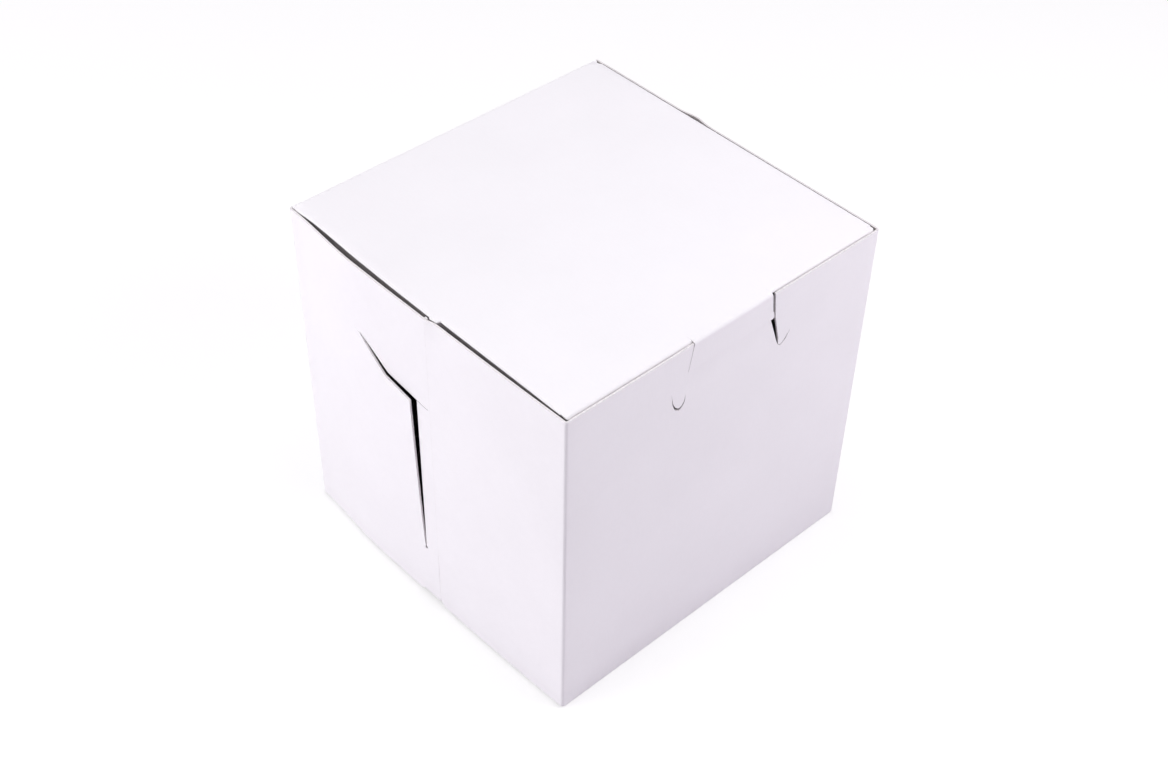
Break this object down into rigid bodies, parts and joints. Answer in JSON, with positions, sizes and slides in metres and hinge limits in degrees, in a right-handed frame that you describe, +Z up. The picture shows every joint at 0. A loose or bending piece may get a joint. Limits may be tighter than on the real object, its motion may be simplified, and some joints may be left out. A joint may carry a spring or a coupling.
{
  "type": "bakery box",
  "caption": "Cube-shaped white paperboard bakery box with a hinged tuck-in lid, a hooked front tongue lock and slit side walls.",
  "frame": {"origin": "on the floor under the middle of the closed box", "axes": "+Z up; the front panel with the tongue lock faces -Y; the lid's hinge crease runs along X at the rear top edge"},
  "size_m": [0.1086, 0.1006, 0.1],
  "materials": {
    "white_board": "thin bleached board, smooth and matt, with pale cut edges"
  },
  "bodies": {
    "box_body": {"box_body": "white_board"},
    "lid": {"lid": "white_board"},
    "tuck_flap": {"tuck_flap": "white_board"}
  },
  "joints": [
    {"name": "lid_hinge", "type": "hinge", "parent": "box_body", "child": "lid", "pos_m": [0, 0.05025, 0.1], "axis": [-1, 0, 0], "range_deg": [0, 110]},
    {"name": "tuck_fold", "type": "hinge", "parent": "lid", "child": "tuck_flap", "pos_m": [0, -0.0486, 0.0992], "axis": [1, 0, 0], "range_deg": [0, 88]}
  ],
  "couplings": [
    {"joint": "tuck_fold", "follows": "lid_hinge", "ratio": 0.8}
  ]
}
